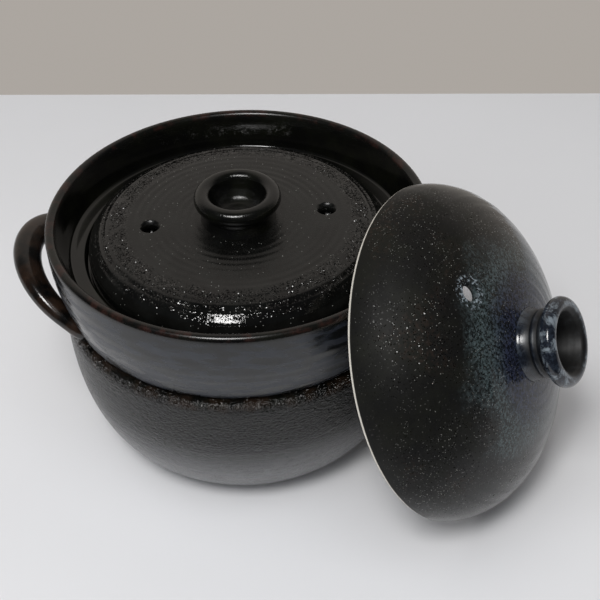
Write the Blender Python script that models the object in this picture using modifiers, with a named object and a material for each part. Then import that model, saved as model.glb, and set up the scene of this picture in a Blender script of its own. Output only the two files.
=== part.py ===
"""Double-lidded earthenware rice pot, modelled at full size in metres, +Z up.

The origin is the centre of the pot's flat foot. The two lug handles lie along X. The inner lid is
seated in the pot, and the outer lid leans against the rim with its lowest edge on the table.
"""

from math import cos, pi, radians, sin, tan

import bmesh
import bpy
from mathutils import Matrix, Vector

# Pot body: depths are measured down from the rim plane.
RIM_RADIUS = 0.1037
BODY_HEIGHT = 0.1412
LIP_RADIUS = 0.0027
COLLAR_DEPTH = 0.0456
COLLAR_FOOT_RADIUS = 0.0954
COLLAR_EXPONENT = 2.3
COLLAR_LIP_HEIGHT = 0.0028
GROOVE_RADIUS = 0.0926
BELLY_RADIUS = 0.0990
BELLY_TOP_DEPTH = 0.0550
FOOT_RADIUS = 0.0560
BELLY_EXPONENT = 2.25
WALL = 0.0085

# Steps inside the collar that carry the two lids.
OUTER_SEAT_DEPTH = 0.0203
OUTER_SEAT_RADIUS = 0.0925
INNER_SEAT_DEPTH = 0.0257
INNER_SEAT_RADIUS = 0.0840
THROAT_RADIUS = 0.0757
THROAT_DEPTH = 0.0317

# Lug handles: each is half an ellipse in a plane that rises from the collar's foot to its apex.
HANDLE_REACH = 0.1160
HANDLE_ROOT = 0.0845
HANDLE_HALF_SPAN = 0.0412
HANDLE_APEX_DEPTH = 0.0205
HANDLE_ROOT_DEPTH = 0.0450
STRAP_HALF_WIDTH = 0.0078
STRAP_HALF_THICKNESS = 0.0058
STRAP_ROOT_SCALE = 0.72

# Inner lid: heights are measured from the rim plane.
INNER_LID_RADIUS = 0.0822
INNER_LID_TOP = -0.0037
INNER_LID_WALL = 0.0065
INNER_LID_FLAT = 0.0600
INNER_SHOULDER_DROP = 0.0145
INNER_RIM_DROP = 0.0155
INNER_SKIRT_GAP = 0.0020
INNER_SKIRT_DEPTH = 0.0040
INNER_SKIRT_WIDTH = 0.0045
INNER_LID_TURN = radians(7.5)
INNER_KNOB_SEAT_RADIUS = 0.0240
INNER_VENT_REACH = 0.0480

# Outer lid, in its own frame: its rim is the plane z = 0 and its axis is Z.
OUTER_LID_RADIUS = 0.0902
OUTER_LID_HEIGHT = 0.0558
OUTER_LID_EXPONENT = 2.13
OUTER_LID_WALL = 0.0065
OUTER_RIM_WIDTH = 0.0072
RIM_EDGE = 0.0014
OUTER_KNOB_SEAT_RADIUS = 0.0195
OUTER_VENT_REACH = 0.0528
OUTER_VENT_ANGLE = radians(203)
VENT_RADIUS = 0.0040

# Where the outer lid leans, and how high it hangs level over the pot at the end of its swing.
LEAN_AZIMUTH = radians(-25.4)
LEAN_ANGLE = radians(65.33)
LEAN_REACH = 0.1174
LEVEL_HEIGHT = BODY_HEIGHT + 0.0700

# Ring knobs, turned on the lids: one outer radius and one hollow, and a height for each.
KNOB_RADIUS = 0.0234
KNOB_BAND = 0.0045
KNOB_HOLLOW_RADIUS = 0.0152
INNER_KNOB_HEIGHT = 0.0172
INNER_KNOB_NECK = 0.0184
OUTER_KNOB_HEIGHT = 0.0205
OUTER_KNOB_NECK = 0.0172

GAP = 0.0003
ROOT_GAP = 0.00045
BODY_STEPS = 56
LID_STEPS = 44
KNOB_STEPS = 32

BLACK_GLAZE = (0.018, 0.017, 0.016, 1.0)
IRON_GLAZE = (0.030, 0.031, 0.030, 1.0)
SLATE_GLAZE = (0.085, 0.100, 0.115, 1.0)
BROWN_GLAZE = (0.050, 0.038, 0.030, 1.0)


def clear_scene():
    for item in list(bpy.data.objects):
        bpy.data.objects.remove(item, do_unlink=True)


def new_collection(name):
    made = bpy.data.collections.new(name)
    bpy.context.scene.collection.children.link(made)
    return made


def glaze(name, colour, roughness):
    material = bpy.data.materials.new(name)
    material.use_nodes = True
    shader = material.node_tree.nodes["Principled BSDF"]
    shader.inputs["Base Color"].default_value = colour
    shader.inputs["Roughness"].default_value = roughness
    shader.inputs["Metallic"].default_value = 0.0
    return material


def arc(x, z, radius, start, end, count):
    """Points on a circle in the profile plane, between two angles in degrees."""
    angles = [radians(start + (end - start) * i / (count - 1)) for i in range(count)]
    return [(x + radius * cos(a), z + radius * sin(a)) for a in angles]


def quarter(width, height, exponent, count):
    """A quarter of a superellipse, from (width, 0) to (0, height)."""
    angles = [pi / 2 * i / (count - 1) for i in range(count)]
    power = 2 / exponent
    return [(width * abs(cos(a)) ** power, height * abs(sin(a)) ** power) for a in angles]


def belly(wall, bottom, count):
    """The belly's curve from its widest level down to the bottom, moved in by a wall thickness."""
    top = BODY_HEIGHT - BELLY_TOP_DEPTH
    flat = FOOT_RADIUS - wall
    curve = quarter(BELLY_RADIUS - FOOT_RADIUS, top - bottom, BELLY_EXPONENT, count)
    return [(flat + x, top - z) for x, z in curve]


def lathe(name, profile, steps, collection, closed=False):
    """Turns a profile in the XZ plane about Z with a Screw modifier."""
    count = len(profile)
    edges = [(i, i + 1) for i in range(count - 1)]
    if closed:
        edges.append((count - 1, 0))
    mesh = bpy.data.meshes.new(name)
    mesh.from_pydata([(x, 0, z) for x, z in profile], edges, [])
    made = bpy.data.objects.new(name, mesh)
    collection.objects.link(made)
    screw = made.modifiers.new("Turn", "SCREW")
    screw.axis = "Z"
    screw.angle = 2 * pi
    screw.steps = steps
    screw.render_steps = steps
    screw.use_merge_vertices = True
    screw.merge_threshold = 0.00005
    screw.use_smooth_shade = True
    return made


def cutter_cylinder(name, radius, depth, location):
    bpy.ops.mesh.primitive_cylinder_add(vertices=20, radius=radius, depth=depth, location=location)
    made = bpy.context.object
    made.name = name
    return as_cutter(made)


def as_cutter(made):
    for collection in list(made.users_collection):
        collection.objects.unlink(made)
    cutters.objects.link(made)
    made.hide_render = True
    made.display_type = "WIRE"
    return made


def cut(piece, tool):
    boolean = piece.modifiers.new("Cut " + tool.name, "BOOLEAN")
    boolean.operation = "DIFFERENCE"
    boolean.solver = "EXACT"
    boolean.object = tool


def collar_radius(depth):
    """The collar bows out at the rim and draws in towards its foot."""
    drawn_in = (RIM_RADIUS - COLLAR_FOOT_RADIUS) * (depth / COLLAR_DEPTH) ** COLLAR_EXPONENT
    return RIM_RADIUS - drawn_in


def collar_side(grow):
    """The pot's outer side from just under the lip down to the groove, moved out by grow."""
    top = BODY_HEIGHT
    depths = [COLLAR_DEPTH * share for share in (0.24, 0.44, 0.62, 0.78, 0.90, 1.0)]
    side = [(collar_radius(depth) + grow, top - depth) for depth in depths]
    under = top - COLLAR_DEPTH - COLLAR_LIP_HEIGHT
    return [
        *side,
        (COLLAR_FOOT_RADIUS - 0.0006 + grow, under + 0.0004),
        (GROOVE_RADIUS + grow, under - 0.0002),
        (GROOVE_RADIUS + grow, under - 0.0016),
        (BELLY_RADIUS - 0.0024 + grow, under - 0.0024),
        (BELLY_RADIUS - 0.0007 + grow, under - 0.0042),
    ]


def pot_profile():
    """From the middle of the bowl's floor up the inside, over the lip and down to the foot."""
    top = BODY_HEIGHT
    inside = belly(WALL, WALL, 9)
    inside.reverse()
    return [
        (0, WALL),
        *inside,
        (THROAT_RADIUS, top - THROAT_DEPTH),
        (THROAT_RADIUS, top - INNER_SEAT_DEPTH),
        (INNER_SEAT_RADIUS, top - INNER_SEAT_DEPTH),
        (INNER_SEAT_RADIUS, top - OUTER_SEAT_DEPTH),
        (OUTER_SEAT_RADIUS, top - OUTER_SEAT_DEPTH),
        *arc(RIM_RADIUS - LIP_RADIUS, top - LIP_RADIUS, LIP_RADIUS, 165, 0, 7),
        *collar_side(0),
        *belly(0, 0.0012, 11),
        (FOOT_RADIUS - 0.0012, 0),
        (0, 0),
    ]


def pot_body():
    return lathe("pot_body", pot_profile(), BODY_STEPS, parts)


def handle_outline():
    """Points of the strap's centre line in its own plane: X outwards, Y along the collar."""
    reach = Vector((HANDLE_REACH - HANDLE_ROOT, HANDLE_ROOT_DEPTH - HANDLE_APEX_DEPTH)).length
    count = 15
    angles = [pi * (i / (count - 1) - 0.5) for i in range(count)]
    return [(reach * cos(a), HANDLE_HALF_SPAN * sin(a), a) for a in angles]


def strap_section():
    """The strap's oval section, as a bevel object."""
    curve = bpy.data.curves.new("strap_section", "CURVE")
    curve.dimensions = "2D"
    spline = curve.splines.new("POLY")
    count = 14
    spline.points.add(count - 1)
    for i, point in enumerate(spline.points):
        turn = 2 * pi * i / count
        point.co = (STRAP_HALF_WIDTH * cos(turn), STRAP_HALF_THICKNESS * sin(turn), 0, 1)
    spline.use_cyclic_u = True
    made = bpy.data.objects.new("strap_section", curve)
    return as_cutter(made)


def handle(name, azimuth, section, collar_cutter):
    """A strap that springs from the collar's foot, arches outwards and upwards, and comes back."""
    curve = bpy.data.curves.new(name, "CURVE")
    curve.dimensions = "3D"
    curve.twist_mode = "Z_UP"
    curve.bevel_mode = "OBJECT"
    curve.bevel_object = section
    curve.use_fill_caps = True
    outline = handle_outline()
    spline = curve.splines.new("POLY")
    spline.points.add(len(outline) - 1)
    for point, (x, y, a) in zip(spline.points, outline):
        point.co = (x, y, 0, 1)
        point.radius = STRAP_ROOT_SCALE + (1 - STRAP_ROOT_SCALE) * cos(a)
    guide = bpy.data.objects.new(name + "_guide", curve)
    parts.objects.link(guide)
    rise = (HANDLE_ROOT_DEPTH - HANDLE_APEX_DEPTH) / (HANDLE_REACH - HANDLE_ROOT)
    root = Vector((HANDLE_ROOT, 0, BODY_HEIGHT - HANDLE_ROOT_DEPTH))
    tilt = Vector((1, 0, rise)).to_track_quat("X", "Z").to_matrix().to_4x4()
    guide.matrix_world = Matrix.Rotation(azimuth, 4, "Z") @ Matrix.Translation(root) @ tilt
    bpy.context.view_layer.update()
    made = meshed(guide, name)
    cut(made, collar_cutter)
    return made


def meshed(guide, name):
    """The curve object as a mesh object with welded caps, in the same place."""
    graph = bpy.context.evaluated_depsgraph_get()
    mesh = bpy.data.meshes.new_from_object(guide.evaluated_get(graph))
    shape = bmesh.new()
    shape.from_mesh(mesh)
    bmesh.ops.remove_doubles(shape, verts=shape.verts, dist=0.00001)
    bmesh.ops.recalc_face_normals(shape, faces=shape.faces)
    shape.to_mesh(mesh)
    shape.free()
    made = bpy.data.objects.new(name, mesh)
    parts.objects.link(made)
    made.matrix_world = guide.matrix_world
    bpy.data.objects.remove(guide, do_unlink=True)
    mesh.name = name
    mesh.shade_smooth()
    return made


def collar_space():
    """The pot's outside, grown by the gap, as the tool that shapes the handles' roots."""
    top = BODY_HEIGHT
    profile = [
        (0, top + 0.01),
        (RIM_RADIUS + ROOT_GAP, top + 0.01),
        *collar_side(ROOT_GAP),
        *[(x + ROOT_GAP, z) for x, z in belly(0, 0.0012, 11)[:6]],
        (0, BODY_HEIGHT * 0.3),
    ]
    return as_cutter(lathe("collar_space", profile, BODY_STEPS, cutters))


def knob_profile(height, neck):
    """A turned ring: spreading base, waist, rounded band and a hollow that goes right through."""
    return [
        *arc(KNOB_RADIUS - KNOB_BAND, height - KNOB_BAND, KNOB_BAND, 90, -60, 8),
        (neck + 0.0004, height * 0.42),
        (neck, height * 0.28),
        (neck + 0.0010, height * 0.12),
        (neck + 0.0024, GAP + 0.0006),
        (neck + 0.0018, GAP),
        (KNOB_HOLLOW_RADIUS - 0.0035, GAP),
        (KNOB_HOLLOW_RADIUS - 0.0022, height * 0.45),
        (KNOB_HOLLOW_RADIUS, height * 0.82),
        (KNOB_HOLLOW_RADIUS + 0.0016, height - 0.0006),
    ]


def turned_knob(name, height, neck):
    return lathe(name, knob_profile(height, neck), KNOB_STEPS, parts, closed=True)


def inner_lid_profile():
    """From the top's centre down the outside to the seat, and back under to the centre."""
    seat = -INNER_SEAT_DEPTH + GAP
    crown = INNER_LID_TOP
    flat = INNER_LID_FLAT
    shoulder = quarter(INNER_LID_RADIUS - flat, INNER_SHOULDER_DROP, 2.0, 7)
    shoulder.reverse()
    under = crown - INNER_LID_WALL
    skirt = THROAT_RADIUS - INNER_SKIRT_GAP
    return [
        (0, crown),
        (INNER_KNOB_SEAT_RADIUS, crown),
        *[(flat + x, crown - INNER_RIM_DROP + z) for x, z in shoulder],
        (INNER_LID_RADIUS, seat),
        (skirt, seat),
        (skirt, seat - INNER_SKIRT_DEPTH),
        (skirt - INNER_SKIRT_WIDTH, seat - INNER_SKIRT_DEPTH),
        (skirt - INNER_SKIRT_WIDTH - 0.0020, seat + 0.0045),
        (flat - 0.0040, under - 0.0020),
        (flat / 2, under),
        (0, under),
    ]


def inner_lid():
    made = lathe("inner_lid", inner_lid_profile(), LID_STEPS, parts)
    made.location.z = BODY_HEIGHT
    for side, angle in (("left", pi + INNER_LID_TURN), ("right", INNER_LID_TURN)):
        place = Vector((cos(angle), sin(angle), 0)) * INNER_VENT_REACH
        place.z = BODY_HEIGHT + INNER_LID_TOP
        cut(made, cutter_cylinder("inner_vent_" + side, VENT_RADIUS, 0.04, place))
    return made


def inner_lid_knob():
    made = turned_knob("inner_lid_knob", INNER_KNOB_HEIGHT, INNER_KNOB_NECK)
    made.location.z = BODY_HEIGHT + INNER_LID_TOP
    return made


def outer_lid_profile():
    """From the top's centre down the dome to the rim, and back up inside to the centre."""
    flat = OUTER_KNOB_SEAT_RADIUS
    dome = quarter(OUTER_LID_RADIUS, OUTER_LID_HEIGHT, OUTER_LID_EXPONENT, 15)
    outside = [(x, z) for x, z in dome if x > flat + 0.004 and z > 0.002]
    outside.reverse()
    inner_radius = OUTER_LID_RADIUS - OUTER_RIM_WIDTH
    inner_height = OUTER_LID_HEIGHT - OUTER_LID_WALL
    inside = quarter(inner_radius, inner_height, OUTER_LID_EXPONENT, 10)
    return [
        (0, OUTER_LID_HEIGHT),
        (flat, OUTER_LID_HEIGHT - 0.0002),
        *outside,
        (OUTER_LID_RADIUS, RIM_EDGE),
        (OUTER_LID_RADIUS - RIM_EDGE * 0.6, 0),
        *inside,
    ]


def lean_frame():
    """The leaning lid's place: its centre, and the turn that tips its axis outwards."""
    out = Vector((cos(LEAN_AZIMUTH), sin(LEAN_AZIMUTH), 0))
    centre = out * LEAN_REACH
    centre.z = OUTER_LID_RADIUS * sin(LEAN_ANGLE) - RIM_EDGE * cos(LEAN_ANGLE) + GAP
    turn = Matrix.Rotation(LEAN_AZIMUTH, 4, "Z") @ Matrix.Rotation(LEAN_ANGLE, 4, "Y")
    return centre, turn


def swing_pivot(centre):
    """The point that the lid turns about between leaning and hanging level over the pot."""
    level = Vector((0, 0, LEVEL_HEIGHT))
    out = Vector((cos(LEAN_AZIMUTH), sin(LEAN_AZIMUTH), 0))
    run = (centre - level).dot(out)
    drop = centre.z - level.z
    reach = 0.5 / tan(LEAN_ANGLE / 2)
    pivot = (centre + level) / 2 + out * drop * reach
    pivot.z -= run * reach
    return pivot


def place_outer_lid(pieces):
    """Parents the lid's pieces to an empty on the swing's axis and leans them on the rim."""
    centre, turn = lean_frame()
    leaning = Matrix.Translation(centre) @ turn
    pivot = bpy.data.objects.new("outer_lid_pivot", None)
    parts.objects.link(pivot)
    pivot.location = swing_pivot(centre)
    bpy.context.view_layer.update()
    for piece in pieces:
        piece.parent = pivot
        piece.matrix_parent_inverse = pivot.matrix_world.inverted()
        piece.matrix_basis = leaning @ piece.matrix_basis


def outer_lid():
    made = lathe("outer_lid", outer_lid_profile(), LID_STEPS, parts)
    place = Vector((cos(OUTER_VENT_ANGLE), sin(OUTER_VENT_ANGLE), 0)) * OUTER_VENT_REACH
    place.z = OUTER_LID_HEIGHT * 0.8
    vent = cutter_cylinder("outer_vent", VENT_RADIUS, 0.03, place)
    cut(made, vent)
    return made, vent


def outer_lid_knob():
    made = turned_knob("outer_lid_knob", OUTER_KNOB_HEIGHT, OUTER_KNOB_NECK)
    made.location.z = OUTER_LID_HEIGHT
    return made


clear_scene()
parts = new_collection("rice_pot")
cutters = new_collection("cutters")

body = pot_body()
collar_cutter = collar_space()
section = strap_section()
left_handle = handle("left_handle", pi, section, collar_cutter)
right_handle = handle("right_handle", 0, section, collar_cutter)
lid = inner_lid()
lid_knob = inner_lid_knob()
cover, cover_vent = outer_lid()
cover_knob = outer_lid_knob()
place_outer_lid([cover, cover_knob, cover_vent])

body.data.materials.append(glaze("pot_glaze", BLACK_GLAZE, 0.30))
for item in (left_handle, right_handle):
    item.data.materials.append(glaze(item.name + "_glaze", BROWN_GLAZE, 0.20))
lid.data.materials.append(glaze("inner_lid_glaze", IRON_GLAZE, 0.38))
lid_knob.data.materials.append(glaze("inner_knob_glaze", BLACK_GLAZE, 0.28))
cover.data.materials.append(glaze("outer_lid_glaze", BLACK_GLAZE, 0.22))
cover_knob.data.materials.append(glaze("outer_knob_glaze", SLATE_GLAZE, 0.20))
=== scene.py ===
from math import cos, pi, radians, sin, tan

import bpy
import numpy as np
from mathutils import Matrix, Vector

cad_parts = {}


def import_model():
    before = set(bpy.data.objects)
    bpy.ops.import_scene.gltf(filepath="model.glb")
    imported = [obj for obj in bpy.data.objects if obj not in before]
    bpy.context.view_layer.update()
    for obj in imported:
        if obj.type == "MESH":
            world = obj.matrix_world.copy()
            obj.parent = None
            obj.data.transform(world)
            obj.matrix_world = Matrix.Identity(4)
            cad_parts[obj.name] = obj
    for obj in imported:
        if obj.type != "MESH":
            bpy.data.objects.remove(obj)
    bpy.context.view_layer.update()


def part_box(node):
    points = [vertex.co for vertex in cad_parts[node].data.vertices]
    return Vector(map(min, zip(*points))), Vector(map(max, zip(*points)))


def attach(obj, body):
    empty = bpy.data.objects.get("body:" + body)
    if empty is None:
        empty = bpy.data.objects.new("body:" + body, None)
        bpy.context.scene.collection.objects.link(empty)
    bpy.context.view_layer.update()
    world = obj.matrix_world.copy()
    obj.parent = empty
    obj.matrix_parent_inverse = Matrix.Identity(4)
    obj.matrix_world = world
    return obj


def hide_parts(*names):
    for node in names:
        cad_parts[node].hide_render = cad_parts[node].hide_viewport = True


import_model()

# ---------------------------------------------------------------------------------------------
# Sizes, in metres. The two main radii come from the frame's boxes, and the rest repeat the
# sizes of the frame's solids.
# ---------------------------------------------------------------------------------------------

RIM_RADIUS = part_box("pot_body")[1].x
BODY_HEIGHT = 0.1412
LIP_RADIUS = 0.0027
COLLAR_DEPTH = 0.0456
COLLAR_FOOT_RADIUS = 0.0954
COLLAR_EXPONENT = 2.3
COLLAR_STRAIGHT_DEPTH = 0.0340
COLLAR_LIP_HEIGHT = 0.0028
GROOVE_HEIGHT = BODY_HEIGHT - COLLAR_DEPTH - COLLAR_LIP_HEIGHT
GROOVE_RADIUS = 0.0926
BELLY_RADIUS = 0.0990
BELLY_TOP_DEPTH = 0.0550
FOOT_RADIUS = 0.0560
FOOT_BEVEL = 0.0012
BELLY_EXPONENT = 2.25
WALL = 0.0085
OUTER_SEAT_DEPTH = 0.0203
OUTER_SEAT_RADIUS = 0.0925
INNER_SEAT_DEPTH = 0.0257
INNER_SEAT_RADIUS = 0.0840
THROAT_RADIUS = 0.0757
THROAT_DEPTH = 0.0317

HANDLE_REACH = 0.1160
HANDLE_ROOT = 0.0845
HANDLE_HALF_SPAN = 0.0412
HANDLE_APEX_DEPTH = 0.0205
HANDLE_ROOT_DEPTH = 0.0450
STRAP_HALF_WIDTH = 0.0078
STRAP_HALF_THICKNESS = 0.0058
STRAP_EXPONENT = 2.3
STRAP_STUB = 0.0040
STRAP_SIDES, STRAP_SECTIONS = 48, 160

INNER_LID_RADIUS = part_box("inner_lid")[1].x
INNER_LID_TOP = -0.0037
INNER_LID_WALL = 0.0065
INNER_LID_FLAT = 0.0600
INNER_LID_TURN = radians(7.5)
INNER_VENT_REACH = 0.0480
INNER_VENT_DEPTH = 0.0085
INNER_RIDGES = ((0.0712, 0.0010, 0.00046), (0.0752, 0.0009, 0.00040))

OUTER_LID_RADIUS = 0.0902
OUTER_LID_HEIGHT = 0.0558
OUTER_LID_EXPONENT = 2.13
OUTER_LID_WALL = 0.0065
OUTER_RIM_WIDTH = 0.0072
RIM_EDGE = 0.0014
OUTER_VENT_REACH = 0.0528
OUTER_VENT_ANGLE = radians(203)
OUTER_VENT_DEPTH = 0.0100
OUTER_VENT_SINK = 0.0030
OUTER_VENT_SLOPE = 2.2
VENT_RADIUS = 0.0040
VENT_FLARE = 0.85
VENT_STEPS = 64

LEAN_AZIMUTH = radians(-25.4)
LEAN_ANGLE = radians(65.33)
LEAN_REACH = 0.1174
TABLE_GAP = 0.0003

KNOB_RADIUS = 0.0234
KNOB_HOLLOW_RADIUS = 0.0152
INNER_KNOB_HEIGHT, INNER_KNOB_NECK, INNER_KNOB_BAND = 0.0172, 0.0184, 0.0045
OUTER_KNOB_HEIGHT, OUTER_KNOB_NECK, OUTER_KNOB_BAND = 0.0205, 0.0172, 0.0042

# Throwing rings: pitch, height and seed.
POT_RINGS = (0.0068, 0.00006, 0.7)
INNER_LID_RINGS = (0.0044, 0.00012, 2.1)
OUTER_LID_RINGS = (0.0090, 0.00009, 0.4)
KNOB_RINGS = (0.0043, 0.00003, 1.2)

# Names of the point attributes, and how fine the turned meshes are.
OWN_PLACE = "own_place"
OWN_RUN = "own_run"
LID_STEPS, LID_SPACING = 360, 0.0010
POT_STEPS, POT_SPACING = 300, 0.0017
KNOB_STEPS, KNOB_SPACING = 180, 0.0006


# ---------------------------------------------------------------------------------------------
# Profiles: lists of (radius, height) points
# ---------------------------------------------------------------------------------------------

def quarter(width, height, exponent, count):
    """A quarter of a superellipse, from (width, 0) to (0, height)."""
    angles = [pi / 2 * i / (count - 1) for i in range(count)]
    power = 2 / exponent
    return [(width * abs(cos(a)) ** power, height * abs(sin(a)) ** power) for a in angles]


def belly(wall, bottom, count=40):
    """The belly's curve from its widest level down to the bottom, moved in by a wall thickness."""
    top = BODY_HEIGHT - BELLY_TOP_DEPTH
    flat = FOOT_RADIUS - wall
    curve = quarter(BELLY_RADIUS - FOOT_RADIUS, top - bottom, BELLY_EXPONENT, count)
    return [(flat + x, top - z) for x, z in curve]


def collar_radius(depth):
    """The collar bows out at the rim, draws in below, and ends in a short straight stretch."""
    bowed = min(depth, COLLAR_STRAIGHT_DEPTH)
    drawn_in = (RIM_RADIUS - COLLAR_FOOT_RADIUS) * (bowed / COLLAR_DEPTH) ** COLLAR_EXPONENT
    slope = COLLAR_EXPONENT * drawn_in / bowed
    return RIM_RADIUS - drawn_in - slope * (depth - bowed)


def fillet(before, corner, after, radius, count=7):
    """The points of an arc that rounds one corner."""
    back, on = (before - corner), (after - corner)
    half = back.angle(on) / 2
    if radius <= 0 or half > radians(88):
        return [corner]
    reach = min(radius / tan(half), 0.48 * min(back.length, on.length))
    back.normalize()
    on.normalize()
    start, end = corner + back * reach, corner + on * reach
    centre = corner + (back + on).normalized() * reach / cos(half)
    begin = start - centre
    turn = begin.angle_signed(end - centre)
    spin = [Matrix.Rotation(-turn * i / (count - 1), 2) for i in range(count)]
    return [centre + s @ begin for s in spin]


def rounded(corners, spacing):
    """A profile through (radius, height, rounding) corners, with no stretch longer than spacing."""
    points = [Vector(corners[0][:2])]
    for before, corner, after in zip(corners, corners[1:], corners[2:]):
        spots = [Vector(item[:2]) for item in (before, corner, after)]
        points += fillet(*spots, corner[2] if len(corner) > 2 else 0)
    points.append(Vector(corners[-1][:2]))
    filled = [points[0]]
    for point in points[1:]:
        last = filled[-1]
        gap = (point - last).length
        if gap < 1e-6:
            continue
        count = max(1, round(gap / spacing))
        filled += [last.lerp(point, (i + 1) / count) for i in range(count)]
    return np.array([tuple(point) for point in filled])


# ---------------------------------------------------------------------------------------------
# Turned meshes
# ---------------------------------------------------------------------------------------------

def along(profile):
    """The distance of each profile point from the first, measured along the profile."""
    steps = np.hypot(*np.diff(profile, axis=0).T)
    return np.concatenate([[0], np.cumsum(steps)])


def outwards(profile):
    """The unit normal of each profile point, to the left of the way the profile runs."""
    way = np.gradient(profile, axis=0)
    way /= np.maximum(np.hypot(*way.T), 1e-12)[:, None]
    return np.stack([-way[:, 1], way[:, 0]], axis=1)


def turned(name, profile, steps, relief=None):
    """A closed mesh turned about Z from an axis-to-axis profile, with relief along its normals."""
    angles = np.linspace(0, 2 * pi, steps, endpoint=False)
    radius, height = profile[:, :1], profile[:, 1:]
    lift = relief(radius, height, angles[None, :], along(profile)[:, None]) if relief else 0
    normal = outwards(profile)
    r = radius + normal[:, :1] * lift + 0 * angles
    z = height + normal[:, 1:] * lift + 0 * angles
    ring = np.stack([r * np.cos(angles), r * np.sin(angles), z], axis=2)[1:-1]
    poles = np.array([[0, 0, z[0].mean()], [0, 0, z[-1].mean()]])
    rings = len(ring)
    points = np.concatenate([ring.reshape(-1, 3), poles])
    i, j = np.meshgrid(np.arange(rings - 1), np.arange(steps), indexing="ij")
    k = (j + 1) % steps
    quads = np.stack([i * steps + j, (i + 1) * steps + j, (i + 1) * steps + k, i * steps + k], axis=2)
    j = np.arange(steps)
    k = (j + 1) % steps
    first = np.stack([np.full(steps, rings * steps), j, k], axis=1)
    base = (rings - 1) * steps
    last = np.stack([base + k, base + j, np.full(steps, rings * steps + 1)], axis=1)
    faces = [*quads.reshape(-1, 4).tolist(), *first.tolist(), *last.tolist()]
    made = mesh_object(name, points, faces)
    run = along(profile)
    run = np.concatenate([np.repeat(run[1:-1], steps), run[[0, -1]]]).astype(np.float32)
    made.data.attributes.new(OWN_RUN, "FLOAT", "POINT").data.foreach_set("value", run)
    return made


def mesh_object(name, points, faces):
    mesh = bpy.data.meshes.new(name)
    mesh.from_pydata(points.tolist(), [], faces)
    mesh.validate()
    mesh.shade_smooth()
    made = bpy.data.objects.new(name, mesh)
    bpy.context.scene.collection.objects.link(made)
    return made


def settle(piece, matrix):
    """Moves the mesh itself to its place, and keeps where each point was in the piece's own space."""
    points = np.empty(3 * len(piece.data.vertices), np.float32)
    piece.data.vertices.foreach_get("co", points)
    own = piece.data.attributes.new(OWN_PLACE, "FLOAT_VECTOR", "POINT")
    own.data.foreach_set("vector", points)
    piece.data.transform(matrix)
    piece.matrix_world = Matrix()


def throwing_rings(angles, distance, pitch, height, seed):
    """The shallow spiral that a potter's fingers leave, uneven round the turn and along the wall."""
    spiral = np.sin(2 * pi * distance / pitch - angles + seed)
    finer = 0.45 * np.sin(2 * pi * distance / (pitch * 0.43) - angles + seed * 2.3)
    uneven = 0.65 + 0.35 * np.sin(2 * angles + seed * 1.7 + distance / pitch * 0.9)
    return height * uneven * (spiral + finer)


def window(value, low, high, soft):
    """1 between low and high and 0 outside, with soft edges."""
    rise = np.clip((value - low) / soft, 0, 1)
    fall = np.clip((high - value) / soft, 0, 1)
    return (rise * rise * (3 - 2 * rise)) * (fall * fall * (3 - 2 * fall))


# ---------------------------------------------------------------------------------------------
# Material graphs
# ---------------------------------------------------------------------------------------------

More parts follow.
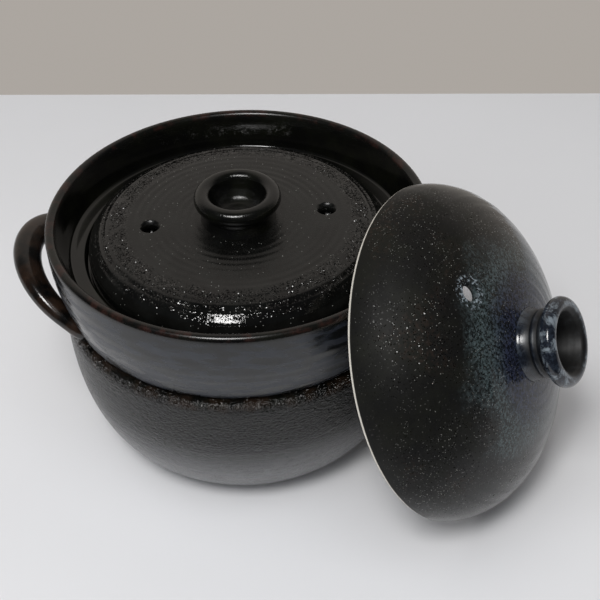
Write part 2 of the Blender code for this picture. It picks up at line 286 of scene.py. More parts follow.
class Graph:
    """Short calls for one material's nodes. Lengths are metres in the piece's own space."""

    def __init__(self, name):
        self.material = bpy.data.materials.new(name)
        self.material.use_nodes = True
        self.tree = self.material.node_tree
        self.shader = self.tree.nodes["Principled BSDF"]
        self.place = self.node("ShaderNodeAttribute", attribute_name=OWN_PLACE).outputs["Vector"]
        parts = self.node("ShaderNodeSeparateXYZ", self.place).outputs
        self.x, self.y, self.z = parts
        squares = [self.math("MULTIPLY", part, part) for part in (self.x, self.y)]
        self.radius = self.math("SQRT", self.math("ADD", *squares))

    def node(self, kind, *values, **settings):
        made = self.tree.nodes.new(kind)
        for key, value in settings.items():
            setattr(made, key, value)
        for value, socket in zip(values, made.inputs):
            self.join(value, socket)
        return made

    def join(self, value, socket):
        if isinstance(value, bpy.types.NodeSocket):
            self.tree.links.new(value, socket)
        elif value is not None:
            socket.default_value = value

    def set(self, **values):
        for key, value in values.items():
            title = key.replace("_", " ").title().replace("Ior", "IOR")
            self.join(value, self.shader.inputs[title])

    def math(self, operation, *values):
        return self.node("ShaderNodeMath", *values, operation=operation).outputs[0]

    def vector(self, operation, *values):
        return self.node("ShaderNodeVectorMath", *values, operation=operation).outputs[0]

    def chain(self, operation, values):
        total = values[0]
        for value in values[1:]:
            total = self.math(operation, total, value)
        return total

    def plus(self, *values):
        return self.chain("ADD", values)

    def minus(self, *values):
        return self.chain("SUBTRACT", values)

    def times(self, *values):
        return self.chain("MULTIPLY", values)

    def maximum(self, *values):
        return self.chain("MAXIMUM", values)

    def band(self, value, low, high, to_low=0.0, to_high=1.0):
        """A smooth step of value from low to high."""
        made = self.node("ShaderNodeMapRange", value, low, high, to_low, to_high,
                         interpolation_type="SMOOTHSTEP")
        return made.outputs[0]

    def between(self, value, low, high, soft):
        """1 inside a range of value and 0 outside, with soft edges."""
        rise = self.band(value, low - soft / 2, low + soft / 2)
        fall = self.band(value, high - soft / 2, high + soft / 2, 1.0, 0.0)
        return self.math("MULTIPLY", rise, fall)

    def noise(self, scale, detail=3.0, rough=0.5, warp=0.0, where=None):
        made = self.node("ShaderNodeTexNoise")
        self.join(where or self.place, made.inputs["Vector"])
        made.inputs["Scale"].default_value = scale
        made.inputs["Detail"].default_value = detail
        made.inputs["Roughness"].default_value = rough
        made.inputs["Distortion"].default_value = warp
        return made.outputs[0]

    def cells(self, scale):
        """The distance to the nearest of many scattered points, and a random number for it."""
        made = self.node("ShaderNodeTexVoronoi", self.place)
        made.inputs["Scale"].default_value = scale
        tone = self.node("ShaderNodeSeparateColor", made.outputs["Color"]).outputs[0]
        return made.outputs["Distance"], tone

    def specks(self, scale, size, share):
        """Small round dots: size is a share of the cell, and share is how many cells have one."""
        distance, tone = self.cells(scale)
        dot = self.band(distance, size, size * 0.55)
        return self.math("MULTIPLY", dot, self.band(tone, 1 - share, 1 - share * 0.7))

    def ring_space(self, radial, around):
        """Space that is stretched along the rings of a turned piece, with no seam."""
        safe = self.math("MAXIMUM", self.radius, 0.0005)
        unit_x = self.math("MULTIPLY", self.math("DIVIDE", self.x, safe), around)
        unit_y = self.math("MULTIPLY", self.math("DIVIDE", self.y, safe), around)
        out = self.math("MULTIPLY", self.radius, radial)
        up = self.math("MULTIPLY", self.z, radial)
        third = self.math("ADD", out, up)
        return self.node("ShaderNodeCombineXYZ", unit_x, unit_y, third).outputs[0]

    def glints(self, scale, share, tilt, amount, below):
        """A normal in which a share of small cells lean like crystals, and a mask of those cells."""
        cell = self.node("ShaderNodeTexVoronoi", self.place)
        cell.inputs["Scale"].default_value = scale
        lean = self.vector("SUBTRACT", cell.outputs["Color"], (0.5, 0.5, 0.5))
        pick = self.node("ShaderNodeTexWhiteNoise", cell.outputs["Position"], noise_dimensions="3D")
        crystals = self.times(self.math("LESS_THAN", pick.outputs[0], share), amount)
        push = self.node("ShaderNodeVectorMath", lean, operation="SCALE")
        self.join(self.times(crystals, tilt), push.inputs["Scale"])
        return self.vector("NORMALIZE", self.vector("ADD", below, push.outputs[0])), crystals

    def polished(self, rough, crystals):
        """Roughness that drops where there are crystals."""
        return self.plus(rough, self.times(crystals, self.minus(CRYSTAL_ROUGHNESS, rough)))

    def mix(self, amount, first, second):
        made = self.node("ShaderNodeMix", data_type="RGBA")
        self.join(amount, made.inputs[0])
        for value, socket in ((first, made.inputs[6]), (second, made.inputs[7])):
            self.join(value if isinstance(value, bpy.types.NodeSocket) else (*value, 1.0), socket)
        return made.outputs[2]

    def bump(self, height, distance, strength):
        made = self.node("ShaderNodeBump")
        self.join(strength, made.inputs["Strength"])
        made.inputs["Distance"].default_value = distance
        self.join(height, made.inputs["Height"])
        return made.outputs[0]


BLACK = (0.0020, 0.0020, 0.0018)
OLIVE = (0.0046, 0.0049, 0.0030)
IRON = (0.0050, 0.0053, 0.0048)
RUST = (0.0300, 0.0110, 0.0080)
BROWN = (0.0220, 0.0125, 0.0080)
# Collar blue: partly the glaze's own colour, partly a painted sheen.
BLUE_BLACK_AND_SHEEN = (0.0185, 0.0225, 0.0310)
# Pale grey: a painted reflection of the table, used low on the belly.
TABLE_REFLECTION_GREY = (0.2600, 0.2620, 0.2700)
INK = (0.0070, 0.0090, 0.0140)
SLATE = (0.0450, 0.0600, 0.0850)
NAVY = (0.0330, 0.0400, 0.0720)
TEAL = (0.0680, 0.0920, 0.0960)
MILKY = (0.3000, 0.3500, 0.3900)
CLAY = (0.5600, 0.4900, 0.4000)
CREAM = (0.7800, 0.7400, 0.6600)
SPARK = (0.5000, 0.5000, 0.4600)
GLAZE_IOR = 1.56
LID_IOR = 1.58
DOME_IOR = 1.40
CRYSTAL_ROUGHNESS = 0.07


def pot_glaze(lip_run):
    """Black iron glaze: rust-brown where it thins over the lip, satin on the collar, gritty below."""
    g = Graph("pot_glaze")
    groove = GROOVE_HEIGHT
    run = g.node("ShaderNodeAttribute", attribute_name=OWN_RUN).outputs["Fac"]
    outside = g.band(run, lip_run - 0.001, lip_run + 0.001)
    below = g.times(g.band(g.z, groove, groove - 0.004), outside)
    collar = g.times(g.between(g.z, groove, BODY_HEIGHT - 0.004, 0.004), outside)
    lip_noise = g.noise(110, 4, 0.6)
    thinned = g.band(lip_noise, 0.46, 0.66)
    lip = g.times(g.band(g.z, BODY_HEIGHT - 0.0030, BODY_HEIGHT - 0.0010), thinned)
    brim = g.times(g.between(g.z, groove - 0.0060, groove - 0.0008, 0.003), outside)
    mottle = g.noise(45, 4, 0.6)
    base = g.mix(g.band(mottle, 0.35, 0.7), BLACK, OLIVE)
    base = g.mix(g.times(lip, 0.7), base, RUST)
    patches = g.band(g.noise(90, 4, 0.6), 0.42, 0.62)
    base = g.mix(g.times(brim, patches, 0.7), base, BROWN)
    foot = g.band(g.plus(g.z, g.times(mottle, 0.002)), 0.0042, 0.0034)
    streaks = g.noise(60, 4, 0.6, where=g.ring_space(9.0, 0.3))
    bands = g.noise(60, 1, 0.5, where=g.ring_space(3.2, 0.12))
    # The collar's blue tone is partly the glaze's own colour and partly a painted sheen that stands
    # in for the table's reflection.
    base = g.mix(g.times(collar, g.band(bands, 0.38, 0.62, 0.15, 1.0)), base, BLUE_BLACK_AND_SHEEN)
    # Lighter grey towards the bottom of the belly is a painted reflection of the pale table, broken
    # up by streaks.
    low = g.times(g.band(g.z, 0.066, 0.016), outside)
    base = g.mix(g.times(low, g.band(streaks, 0.3, 0.7, 0.60, 1.0)), base, TABLE_REFLECTION_GREY)
    base = g.mix(foot, base, CLAY)
    satin = g.times(collar, g.band(bands, 0.38, 0.62, 0.04, 0.24))
    rough = g.plus(g.band(streaks, 0.3, 0.75, 0.09, 0.15), satin)
    brink = g.band(g.z, BODY_HEIGHT - 0.0050, BODY_HEIGHT - 0.0024)
    rough = g.plus(rough, g.times(below, 0.14), g.times(brink, 0.14), g.times(foot, 0.4))
    rough = g.minus(rough, g.times(low, 0.10))
    sand = g.noise(620, 3, 0.65)
    scratch = g.noise(150, 3, 0.6, where=g.ring_space(6.0, 0.3))
    pits, tone = g.cells(330)
    pit = g.times(g.band(pits, 0.30, 0.12), g.band(tone, 0.72, 0.8))
    height = g.minus(g.plus(sand, g.times(scratch, 1.4)), g.times(pit, 0.8))
    coarse = g.bump(height, 0.00100, g.times(below, 0.85))
    facets, crystals = g.glints(scale=1500, share=0.45, tilt=1.3, amount=brim, below=coarse)
    rough = g.polished(rough, crystals)
    g.set(base_color=base, roughness=rough, normal=facets, ior=GLAZE_IOR)
    return g.material


def handle_glaze():
    """The same glaze, thinner and browner where it ran off the strap."""
    g = Graph("handle_glaze")
    mottle = g.noise(60, 4, 0.6)
    base = g.mix(g.band(mottle, 0.40, 0.65), BLACK, BROWN)
    rough = g.band(g.noise(90, 3), 0.3, 0.7, 0.14, 0.26)
    height = g.plus(g.noise(160, 3, 0.6), g.times(g.noise(700, 3), 0.4))
    g.set(base_color=base, roughness=rough, normal=g.bump(height, 0.00025, 0.45), ior=GLAZE_IOR)
    return g.material


def inner_lid_glaze():
    """Satin iron glaze with crystals that glint, and faint rings from throwing."""
    g = Graph("inner_lid_glaze")
    rings = g.noise(55, 4, 0.55, where=g.ring_space(10.0, 1.0))
    mottle = g.noise(70, 4, 0.6)
    base = g.mix(g.band(mottle, 0.35, 0.7), BLACK, IRON)
    shoulder = g.band(g.radius, 0.050, 0.064)
    base = g.mix(g.times(g.specks(800, 0.24, 0.10), 0.40), base, SPARK)
    rough = g.band(rings, 0.3, 0.7, 0.24, 0.38)
    rough = g.times(rough, g.minus(1.0, g.times(shoulder, 0.87)))
    low = g.bump(rings, 0.00030, 0.22)
    patchy = g.band(g.noise(120, 3, 0.6), 0.32, 0.56)
    brow = g.times(g.band(g.radius, 0.058, 0.065), g.band(g.radius, 0.079, 0.076, 0.12, 1.0))
    first_ridge = g.between(g.radius, 0.0703, 0.0721, 0.0008)
    second_ridge = g.between(g.radius, 0.0744, 0.0760, 0.0008)
    bare_ridges = g.minus(1.0, g.times(g.plus(first_ridge, second_ridge), 0.85))
    spread = g.times(patchy, g.plus(g.times(brow, 0.97), 0.03), bare_ridges)
    grains, crystals = g.glints(scale=1900, share=0.52, tilt=1.6, amount=spread, below=low)
    facets = g.glints(scale=1150, share=0.12, tilt=0.9, amount=spread, below=grains)[0]
    rough = g.polished(rough, crystals)
    g.set(base_color=base, roughness=rough, normal=facets, ior=LID_IOR)
    return g.material


def inner_knob_glaze():
    """The inner lid's glaze, smoother and without its crystals."""
    g = Graph("inner_knob_glaze")
    base = g.mix(g.band(g.noise(80, 4, 0.6), 0.4, 0.7), BLACK, OLIVE)
    rough = g.band(g.noise(120, 3), 0.3, 0.7, 0.13, 0.24)
    height = g.plus(g.noise(75, 3, where=g.ring_space(9.0, 1.0)), g.times(g.noise(700, 3), 0.3))
    g.set(base_color=base, roughness=rough, normal=g.bump(height, 0.00018, 0.4), ior=LID_IOR)
    return g.material


def outer_lid_glaze(vent_spot):
    """Black with fine crystals, slate-blue where it pooled round the knob, bare at the rim."""
    g = Graph("outer_lid_glaze")
    warp = g.times(g.minus(g.noise(34, 4, 0.6), 0.5), 0.050)
    reach = g.plus(g.radius, warp)
    blue = g.band(reach, 0.064, 0.044)
    mottle = g.noise(50, 4, 0.62)
    base = g.mix(g.band(mottle, 0.35, 0.65), BLACK, OLIVE)
    brown = g.times(g.band(g.noise(27, 3, 0.5), 0.52, 0.68), g.band(g.noise(420, 4, 0.7), 0.46, 0.64))
    base = g.mix(g.times(brown, 0.55), base, BROWN)
    cloud = g.band(g.noise(600, 5, 0.8), 0.46, 0.57)
    veil = g.mix(g.band(g.plus(g.radius, g.times(warp, 0.6)), 0.028, 0.046), NAVY, TEAL)
    base = g.mix(g.times(blue, g.plus(g.times(cloud, 0.85), 0.10)), base, veil)
    flecks = g.band(g.noise(820, 4, 0.75), 0.58, 0.70)
    milky = g.times(g.between(reach, 0.034, 0.056, 0.012), flecks)
    base = g.mix(g.times(milky, 0.45), base, MILKY)
    away = g.node("ShaderNodeVectorMath", g.place, tuple(vent_spot), operation="DISTANCE")
    vent_ring = g.between(away.outputs["Value"], 0.0048, 0.0092, 0.0020)
    chips = g.times(vent_ring, g.band(g.noise(620, 4, 0.7), 0.53, 0.60))
    base = g.mix(g.times(chips, 0.75), base, MILKY)
    small_dots = g.times(g.specks(1300, 0.32, 0.12), 0.5)
    dots = g.maximum(small_dots, g.times(g.specks(640, 0.20, 0.08), 0.7))
    thin = g.band(g.noise(30, 3, 0.6), 0.38, 0.60, 0.15, 1.0)
    outside = g.band(g.z, 0.0030, 0.0050)
    base = g.mix(g.times(dots, thin, outside), base, SPARK)
    bare = g.band(g.plus(g.z, g.times(g.minus(mottle, 0.5), 0.0006)), 0.0019, 0.0012)
    base = g.mix(bare, base, CREAM)
    side = g.plus(g.times(g.y, -0.70), g.times(g.x, -0.62), g.times(g.minus(mottle, 0.5), 0.03))
    matte = g.times(g.band(side, 0.012, 0.052), g.minus(1.0, blue))
    rough = g.band(g.noise(110, 3), 0.3, 0.7, 0.09, 0.16)
    rough = g.plus(rough, g.times(bare, 0.35), g.times(matte, 0.50))
    pits, tone = g.cells(420)
    pit = g.times(g.band(pits, 0.34, 0.10), g.band(tone, 0.5, 0.6), blue)
    height = g.minus(g.noise(420, 3, 0.6), g.times(pit, 0.9))
    low = g.bump(height, 0.00012, g.plus(g.times(blue, 0.4), 0.14))
    spread = g.times(thin, outside, g.minus(1.0, g.times(blue, 0.6)))
    facets, crystals = g.glints(scale=2000, share=0.07, tilt=0.9, amount=spread, below=low)
    rough = g.polished(rough, crystals)
    g.set(base_color=base, roughness=rough, normal=facets, ior=DOME_IOR)
    return g.material


def outer_knob_glaze():
    """Slate glaze that broke milky-white over the ridges."""
    g = Graph("outer_knob_glaze")
    cloud = g.band(g.noise(420, 5, 0.75), 0.42, 0.62)
    base = g.mix(g.times(cloud, 0.28), INK, SLATE)
    edge = g.band(g.z, OUTER_KNOB_HEIGHT - 0.010, OUTER_KNOB_HEIGHT - 0.006)
    veins = g.noise(125, 5, 0.72, warp=0.6)
    white = g.times(g.band(veins, 0.47, 0.62), g.plus(g.times(edge, 0.70), 0.12))
    base = g.mix(g.times(white, 0.75), base, MILKY)
    # Darker inside the knob's hollow: partly the glaze's darker colour, partly painted shade in the
    # recess. Radial streaks lighten it a little.
    hollow = g.band(g.radius, 0.0192, 0.0168)
    streaks = g.band(g.noise(40, 4, 0.6, where=g.ring_space(1.0, 9.0)), 0.50, 0.66)
    base = g.mix(g.times(hollow, g.minus(1.0, g.times(streaks, 0.25))), base, BLACK)
    rough = g.plus(g.band(g.noise(120, 3), 0.3, 0.7, 0.10, 0.20), g.times(hollow, 0.42))
    height = g.plus(g.noise(240, 3, 0.6), g.times(g.noise(80, 2, where=g.ring_space(8, 1)), 0.5))
    g.set(base_color=base, roughness=rough, normal=g.bump(height, 0.00012, 0.35), ior=LID_IOR)
    return g.material


# ---------------------------------------------------------------------------------------------
# Pieces
# ---------------------------------------------------------------------------------------------

def finish_piece(piece, place, material, body, nodes):
    settle(piece, place)
    piece.data.materials.append(material)
    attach(piece, body)
    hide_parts(*nodes)


def pot_corners():
    """From the middle of the bowl's floor up the inside, over the lip and down to the foot."""
    top = BODY_HEIGHT
    inside = belly(WALL, WALL)
    inside.reverse()
    lip = (RIM_RADIUS - LIP_RADIUS, top - LIP_RADIUS)
    lip_turn = [radians(165 - 165 * i / 14) for i in range(15)]
    depths = [COLLAR_DEPTH * (0.10 + 0.90 * i / 24) for i in range(25)]
    under = GROOVE_HEIGHT
    return [
        (0, WALL),
        *inside,
        (THROAT_RADIUS, top - THROAT_DEPTH, 0.003),
        (THROAT_RADIUS, top - INNER_SEAT_DEPTH, 0.0010),
        (INNER_SEAT_RADIUS, top - INNER_SEAT_DEPTH, 0.0008),
        (INNER_SEAT_RADIUS, top - OUTER_SEAT_DEPTH, 0.0012),
        (OUTER_SEAT_RADIUS, top - OUTER_SEAT_DEPTH, 0.0022),
        *[(lip[0] + LIP_RADIUS * cos(a), lip[1] + LIP_RADIUS * sin(a)) for a in lip_turn],
        *[(collar_radius(depth), top - depth) for depth in depths[:-1]],
        (collar_radius(COLLAR_DEPTH), top - COLLAR_DEPTH, 0.0008),
        (COLLAR_FOOT_RADIUS - 0.0006, under + 0.0004, 0.0006),
        (GROOVE_RADIUS, under - 0.0002, 0.0006),
        (GROOVE_RADIUS, under - 0.0016, 0.0008),
        (BELLY_RADIUS - 0.0024, under - 0.0024, 0.0008),
        (BELLY_RADIUS - 0.0007, under - 0.0042, 0.002),
        *belly(0, FOOT_BEVEL),
        (FOOT_RADIUS - FOOT_BEVEL, 0, 0.0005),
        (0, 0),
    ]


def pot_relief(radius, height, angles, distance):
    """Throwing rings, faint on the belly and stronger on the collar, none at the groove or lip."""
    low = window(height, 0.004, GROOVE_HEIGHT - 0.004, 0.010)
    high = window(height, GROOVE_HEIGHT + 0.004, BODY_HEIGHT - 0.006, 0.010)
    rings = throwing_rings(angles, distance, *POT_RINGS)
    return rings * (low + 1.8 * high)


def pot():
    profile = rounded(pot_corners(), POT_SPACING)
    lip_run = float(along(profile)[profile[:, 1].argmax()])
    piece = turned("rice_pot_body", profile, POT_STEPS, pot_relief)
    finish_piece(piece, Matrix(), pot_glaze(lip_run), "pot", ["pot_body"])


def strap_ring(angle):
    """One section of a handle in the handle's own plane: X outwards, Y along the collar, Z across."""
    reach = Vector((HANDLE_REACH - HANDLE_ROOT, HANDLE_ROOT_DEPTH - HANDLE_APEX_DEPTH)).length
    spot = np.array([reach * cos(angle), HANDLE_HALF_SPAN * sin(angle), 0])
    out = np.array([HANDLE_HALF_SPAN * cos(angle), reach * sin(angle), 0])
    out /= np.linalg.norm(out)
    up = np.array([0, 0, 1.0])
    slim = 0.74 + 0.26 * cos(angle) + 0.16 * np.exp(-((pi / 2 - abs(angle)) / 0.16) ** 2)
    turn = np.linspace(0, 2 * pi, STRAP_SIDES, endpoint=False)
    power = 2 / STRAP_EXPONENT
    across = np.sign(np.cos(turn)) * np.abs(np.cos(turn)) ** power * STRAP_HALF_WIDTH * slim
    rise = np.sign(np.sin(turn)) * np.abs(np.sin(turn)) ** power * STRAP_HALF_THICKNESS * slim
    return spot + across[:, None] * out + rise[:, None] * up


def handle_mesh(name):
    """A strap that springs from the collar's foot, arches outwards and upwards, and comes back."""
    sides = STRAP_SIDES
    angles = [pi * (i / (STRAP_SECTIONS - 1) - 0.5) for i in range(STRAP_SECTIONS)]
    rings = [strap_ring(angle) for angle in angles]
    stub = np.array([-STRAP_STUB, 0, 0])
    rings = [rings[0] + stub, *rings, rings[-1] + stub]
    points = np.concatenate(rings)
    faces = []
    for i in range(len(rings) - 1):
        for j in range(sides):
            k = (j + 1) % sides
            a, b = i * sides, (i + 1) * sides
            faces.append((a + j, b + j, b + k, a + k))
    faces.append(tuple(range(sides)))
    faces.append(tuple(range(len(points) - 1, len(points) - 1 - sides, -1)))
    return mesh_object(name, points, faces)


def handle(name, node, azimuth, material):
    piece = handle_mesh(name)
    rise = (HANDLE_ROOT_DEPTH - HANDLE_APEX_DEPTH) / (HANDLE_REACH - HANDLE_ROOT)
    root = Vector((HANDLE_ROOT, 0, BODY_HEIGHT - HANDLE_ROOT_DEPTH))
    tilt = Vector((1, 0, rise)).to_track_quat("X", "Z").to_matrix().to_4x4()
    place = Matrix.Rotation(azimuth, 4, "Z") @ Matrix.Translation(root) @ tilt
    finish_piece(piece, place, material, "pot", [node])


def vent(piece, place, across, name):
    """Cuts a steam hole whose edges flare, so that the glaze seems to roll into it."""
    half = across / 2
    flare = [(VENT_RADIUS * (1 + VENT_FLARE * t * t), half * t) for t in np.linspace(1, -1, 17)]
    profile = np.array([(0, half), *flare, (0, -half)])
    cutter = turned(name, profile, VENT_STEPS)
    cutter.matrix_world = place
    cutter.hide_render = True
    bpy.context.view_layer.update()
    boolean = piece.modifiers.new(name, "BOOLEAN")
    boolean.object = cutter
    boolean.operation = "DIFFERENCE"
    boolean.solver = "EXACT"
    bpy.context.view_layer.update()
    graph = bpy.context.evaluated_depsgraph_get()
    cut = bpy.data.meshes.new_from_object(piece.evaluated_get(graph))
    piece.modifiers.clear()
    piece.data = cut
    bpy.data.objects.remove(cutter, do_unlink=True)


def inner_lid_corners():
    """From the top's centre down the outside to the seat, and back under to the centre."""
    seat = -INNER_SEAT_DEPTH + 0.0003
    crown = INNER_LID_TOP
    flat = INNER_LID_FLAT
    shoulder = quarter(INNER_LID_RADIUS - flat, 0.0145, 2.0, 30)
    shoulder.reverse()
    under = crown - INNER_LID_WALL
    skirt = THROAT_RADIUS - 0.0020
    return [
        (0, crown),
        (0.0240, crown, 0.01),
        *[(flat + x, crown - 0.0155 + z) for x, z in shoulder],
        (INNER_LID_RADIUS, seat, 0.0012),
        (skirt, seat, 0.0006),
        (skirt, seat - 0.0040, 0.0008),
        (skirt - 0.0045, seat - 0.0040, 0.0012),
        (skirt - 0.0065, seat + 0.0045, 0.003),
        (flat - 0.0040, under - 0.0020, 0.008),
        (flat / 2, under, 0.01),
        (0, under),
    ]


def inner_lid_relief(radius, height, angles, distance):
    """Rings on the top, and two finger ridges where it turns down into its shoulder."""
    top = window(radius, 0.020, 0.082, 0.004) * (height > -0.0190)
    lift = throwing_rings(angles, distance, *INNER_LID_RINGS)
    for middle, width, rise in INNER_RIDGES:
        lift = lift + rise * np.exp(-((radius - middle) / width) ** 2)
    return lift * top


def inner_lid():
    profile = rounded(inner_lid_corners(), LID_SPACING)
    piece = turned("inner_lid_shell", profile, LID_STEPS, inner_lid_relief)
    for side, angle in (("left", pi + INNER_LID_TURN), ("right", INNER_LID_TURN)):
        place = Vector((cos(angle), sin(angle), 0)) * INNER_VENT_REACH
        place.z = INNER_LID_TOP - 0.0036
        vent(piece, Matrix.Translation(place), INNER_VENT_DEPTH, "inner_vent_" + side)
    finish_piece(piece, Matrix.Translation((0, 0, BODY_HEIGHT)), inner_lid_glaze(),
                 "inner_lid", ["inner_lid"])


def knob_corners(height, neck, band, ridges):
    """A turned ring: spreading base, ridged neck, rounded band and a dished hollow."""
    top_turn = [radians(150 - 205 * i / 22) for i in range(23)]
    centre = (KNOB_RADIUS - band, height - band)
    hollow = KNOB_HOLLOW_RADIUS
    rim = [(centre[0] + band * cos(a), centre[1] + band * sin(a)) for a in top_turn]
    return [
        (0, height * 0.16),
        (hollow - 0.0055, height * 0.20, 0.008),
        (hollow - 0.0020, height * 0.52, 0.010),
        *rim,
        *ridges,
        (neck + 0.0018, 0.0004, 0.001),
        (neck + 0.0026, -0.0012, 0.001),
        (0, -0.0012),
    ]


def knob(name, corners, material, body, node, place):
    piece = turned(name, rounded(corners, KNOB_SPACING), KNOB_STEPS, knob_relief)
    finish_piece(piece, place, material, body, [node])


def knob_relief(radius, height, angles, distance):
    return throwing_rings(angles, distance, *KNOB_RINGS) * window(radius, 0.006, 0.030, 0.004)


def inner_knob():
    height, neck = INNER_KNOB_HEIGHT, INNER_KNOB_NECK
    ridges = [
        (neck + 0.0004, height * 0.42, 0.002),
        (neck, height * 0.28, 0.002),
        (neck + 0.0010, height * 0.12, 0.001),
    ]
    corners = knob_corners(height, neck, INNER_KNOB_BAND, ridges)
    place = Matrix.Translation((0, 0, BODY_HEIGHT + INNER_LID_TOP))
    knob("inner_lid_ring_knob", corners, inner_knob_glaze(),
         "inner_lid", "inner_lid_knob", place)


def outer_lid_corners():
    """From the top's centre down the dome to the rim, and back up inside to the centre."""
    dome = quarter(OUTER_LID_RADIUS, OUTER_LID_HEIGHT, OUTER_LID_EXPONENT, 90)
    outside = [(x, z) for x, z in dome if z > 0.002]
    outside.reverse()
    inner_radius = OUTER_LID_RADIUS - OUTER_RIM_WIDTH
    inner_height = OUTER_LID_HEIGHT - OUTER_LID_WALL
    inside = quarter(inner_radius, inner_height, OUTER_LID_EXPONENT, 70)
    return [
        *outside,
        (OUTER_LID_RADIUS, RIM_EDGE, 0.0008),
        (OUTER_LID_RADIUS - RIM_EDGE * 0.6, 0, 0.0008),
        (inner_radius, 0, 0.0008),
        *inside[1:],
    ]


def outer_lid_relief(radius, height, angles, distance):
    rings = throwing_rings(angles, distance, *OUTER_LID_RINGS)
    return rings * window(radius, 0.022, 0.086, 0.006)


def lean_frame():
    """The leaning lid's place: its centre, and the turn that tips its axis outwards."""
    centre = Vector((cos(LEAN_AZIMUTH), sin(LEAN_AZIMUTH), 0)) * LEAN_REACH
    centre.z = OUTER_LID_RADIUS * sin(LEAN_ANGLE) - RIM_EDGE * cos(LEAN_ANGLE) + TABLE_GAP
    turn = Matrix.Rotation(LEAN_AZIMUTH, 4, "Z") @ Matrix.Rotation(LEAN_ANGLE, 4, "Y")
    return Matrix.Translation(centre) @ turn


def outer_lid():
    leaning = lean_frame()
    profile = rounded(outer_lid_corners(), LID_SPACING)
    piece = turned("outer_lid_shell", profile, LID_STEPS, outer_lid_relief)
    power = OUTER_LID_EXPONENT
    spot = Vector((cos(OUTER_VENT_ANGLE), sin(OUTER_VENT_ANGLE), 0)) * OUTER_VENT_REACH
    rise = OUTER_LID_HEIGHT * (1 - (OUTER_VENT_REACH / OUTER_LID_RADIUS) ** power) ** (1 / power)
    spot.z = rise - OUTER_VENT_SINK
    slope = Vector((cos(OUTER_VENT_ANGLE), sin(OUTER_VENT_ANGLE), OUTER_VENT_SLOPE))
    turn = slope.to_track_quat("Z", "Y").to_matrix().to_4x4()
    vent(piece, Matrix.Translation(spot) @ turn, OUTER_VENT_DEPTH, "outer_vent")
    finish_piece(piece, leaning, outer_lid_glaze(spot),
                 "outer_lid", ["outer_lid"])
    height, neck = OUTER_KNOB_HEIGHT, OUTER_KNOB_NECK
    ridges = [
        (neck + 0.0010, height * 0.52, 0.001),
        (neck - 0.0002, height * 0.44, 0.0008),
        (neck + 0.0012, height * 0.34, 0.001),
        (neck, height * 0.25, 0.0008),
        (neck + 0.0010, height * 0.13, 0.001),
    ]
    corners = knob_corners(height, neck, OUTER_KNOB_BAND, ridges)
    place = leaning @ Matrix.Translation((0, 0, OUTER_LID_HEIGHT))
    knob("outer_lid_ring_knob", corners, outer_knob_glaze(),
         "outer_lid", "outer_lid_knob", place)


# ---------------------------------------------------------------------------------------------
# Stage, lights and camera
# ---------------------------------------------------------------------------------------------

TABLE_BACK, TABLE_FRONT = 0.3525, -0.29
TABLE_SKEW = -0.0414
FLOOR_REACH = 4.0
MIRROR_LIFT = 0.0002
FLOOR_TONE = (0.800, 0.800, 0.812)
ROOM = (0.030, 0.031, 0.034, 1)
WALL_GREY = (0.41, 0.38, 0.35, 1)
WALL_SPREAD = (0.05, 0.60)
LIGHT_TARGET = Vector((0, 0, 0.1))

CAMERA_SPOT = (0.0357, -0.5842, 0.5668)
CAMERA_YAW, CAMERA_PITCH, CAMERA_ROLL = radians(-0.379), radians(39.931), radians(-1.584)
CAMERA_LENS, CAMERA_SENSOR, CAMERA_CLIP = 80.56, 36, 0.05


def plain_material(name, colour, roughness):
    g = Graph(name)
    tone = g.band(g.noise(3, 4, 0.5), 0.3, 0.7, 0.985, 1.015)
    shade = g.node("ShaderNodeVectorMath", colour, operation="SCALE")
    g.join(tone, shade.inputs["Scale"])
    g.set(base_color=shade.outputs[0], roughness=roughness, specular_ior_level=0.25)
    return g.material


def table_top(name, front, lift, material):
    """A flat sheet from the table's back edge, which runs a little askew, to a front edge."""
    slide = FLOOR_REACH * TABLE_SKEW
    piece = mesh_object(
        name,
        np.array([
            (-FLOOR_REACH, front, 0),
            (FLOOR_REACH, front, 0),
            (FLOOR_REACH, TABLE_BACK + slide, 0),
            (-FLOOR_REACH, TABLE_BACK - slide, 0),
        ]),
        [(0, 1, 2, 3)],
    )
    settle(piece, Matrix.Translation((0, 0, lift)))
    piece.data.materials.append(material)
    return piece


def stage():
    """A pale floor. In reflections it ends at a table's front edge, with a dim room beyond it."""
    pale = plain_material("pale_floor", FLOOR_TONE, 0.55)
    floor = table_top("floor", -FLOOR_REACH, 0, pale)
    floor.visible_glossy = False
    mirrored = table_top("mirrored_table", TABLE_FRONT, MIRROR_LIFT, pale)
    mirrored.visible_camera = False
    mirrored.visible_diffuse = False
    mirrored.visible_shadow = False


def area_light(name, azimuth, elevation, distance, size, power, colour):
    """A rectangular light that faces the pot. Azimuth 0 is in front, and positive is to +X."""
    data = bpy.data.lights.new(name, "AREA")
    data.shape = "RECTANGLE"
    data.size, data.size_y = size
    data.energy = power
    data.color = colour
    lamp = bpy.data.objects.new(name, data)
    bpy.context.scene.collection.objects.link(lamp)
    a, e = radians(azimuth), radians(elevation)
    towards = Vector((sin(a) * cos(e), -cos(a) * cos(e), sin(e)))
    lamp.location = LIGHT_TARGET + towards * distance
    lamp.rotation_euler = towards.to_track_quat("Z", "Y").to_euler()
    return lamp


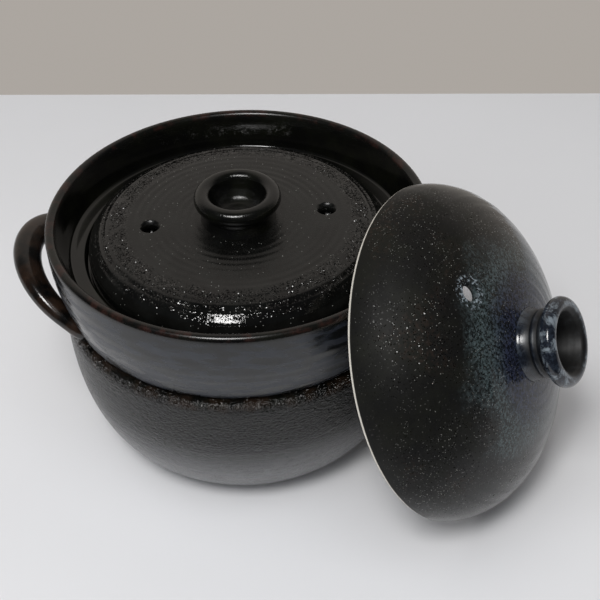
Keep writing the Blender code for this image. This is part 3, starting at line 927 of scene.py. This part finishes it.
def world():
    """A grey wall behind the table and a dim room elsewhere. The camera sees plain grey."""
    room = bpy.data.worlds.new("room")
    room.use_nodes = True
    tree = room.node_tree
    way = tree.nodes.new("ShaderNodeTexCoord").outputs["Generated"]
    parts = tree.nodes.new("ShaderNodeSeparateXYZ")
    tree.links.new(way, parts.inputs[0])
    ahead = tree.nodes.new("ShaderNodeMapRange")
    ahead.interpolation_type = "SMOOTHSTEP"
    tree.links.new(parts.outputs["Y"], ahead.inputs[0])
    for socket, value in zip(ahead.inputs[1:5], (*WALL_SPREAD, 0.0, 1.0)):
        socket.default_value = value
    tint = tree.nodes.new("ShaderNodeMix")
    tint.data_type = "RGBA"
    tree.links.new(ahead.outputs[0], tint.inputs[0])
    tint.inputs[6].default_value = ROOM
    tint.inputs[7].default_value = WALL_GREY
    path = tree.nodes.new("ShaderNodeLightPath")
    seen = tree.nodes.new("ShaderNodeMix")
    seen.data_type = "RGBA"
    tree.links.new(path.outputs["Is Camera Ray"], seen.inputs[0])
    tree.links.new(tint.outputs[2], seen.inputs[6])
    seen.inputs[7].default_value = WALL_GREY
    tree.links.new(seen.outputs[2], tree.nodes["Background"].inputs[0])
    bpy.context.scene.world = room


def lights():
    world()
    area_light("window", azimuth=-14, elevation=56, distance=1.6,
               size=(0.40, 0.46), power=12, colour=(1.0, 0.99, 0.98))
    fill = area_light("fill", azimuth=-24, elevation=62, distance=2.0,
                      size=(2.4, 2.4), power=30, colour=(0.95, 0.97, 1.0))
    fill.visible_glossy = False


def camera():
    """Looks down at the pot from in front, turned a little off level."""
    data = bpy.data.cameras.new("camera")
    data.sensor_width = CAMERA_SENSOR
    data.lens = CAMERA_LENS
    data.clip_start = CAMERA_CLIP
    made = bpy.data.objects.new("camera", data)
    bpy.context.scene.collection.objects.link(made)
    yaw, pitch, roll = CAMERA_YAW, CAMERA_PITCH, CAMERA_ROLL
    ahead = Vector((sin(yaw) * cos(pitch), cos(yaw) * cos(pitch), -sin(pitch)))
    level = ahead.cross(Vector((0, 0, 1))).normalized()
    up = level.cross(ahead)
    right = level * cos(roll) + up * sin(roll)
    above = up * cos(roll) - level * sin(roll)
    turn = Matrix((right, above, -ahead)).transposed().to_4x4()
    made.matrix_world = Matrix.Translation(CAMERA_SPOT) @ turn
    bpy.context.scene.camera = made


camera()
stage()
lights()
pot()
shared_handle_glaze = handle_glaze()
handle("left_lug_handle", "left_handle", pi, shared_handle_glaze)
handle("right_lug_handle", "right_handle", 0, shared_handle_glaze)
inner_lid()
inner_knob()
outer_lid()
bpy.context.scene.view_settings.view_transform = "Standard"
